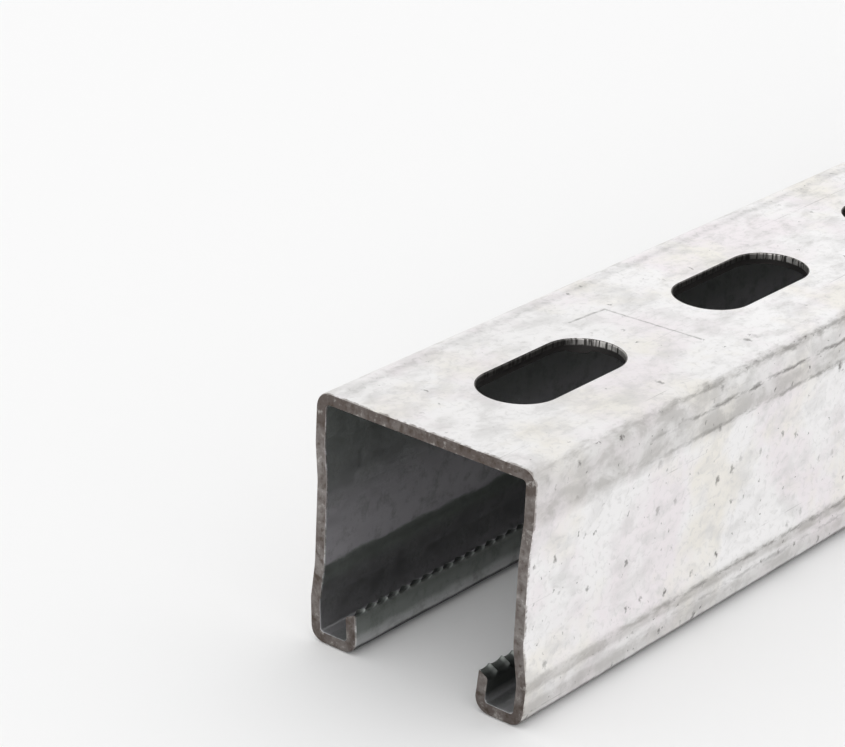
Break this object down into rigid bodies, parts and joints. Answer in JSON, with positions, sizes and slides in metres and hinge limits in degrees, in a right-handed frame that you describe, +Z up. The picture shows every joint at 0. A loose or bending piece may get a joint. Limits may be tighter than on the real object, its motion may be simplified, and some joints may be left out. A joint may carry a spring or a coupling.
{
  "type": "slotted c channel",
  "caption": "Cold-rolled C channel for framing, with recessed side walls, toothed in-turned lips and a row of long slots through its web.",
  "frame": {"origin": "below the middle of the length, on the surface that the lips rest on", "axes": "+X across the channel, +Y along its length, +Z up from the open side to the web"},
  "size_m": [0.0412, 1, 0.0413],
  "materials": {
    "galvanised_steel": "pre-galvanised zinc coat, pale silver, dull satin, with fine rolling lines and small dark pits; bare brown-grey steel on the sawn ends"
  },
  "bodies": {
    "root": {"c_channel": "galvanised_steel"}
  },
  "joints": []
}
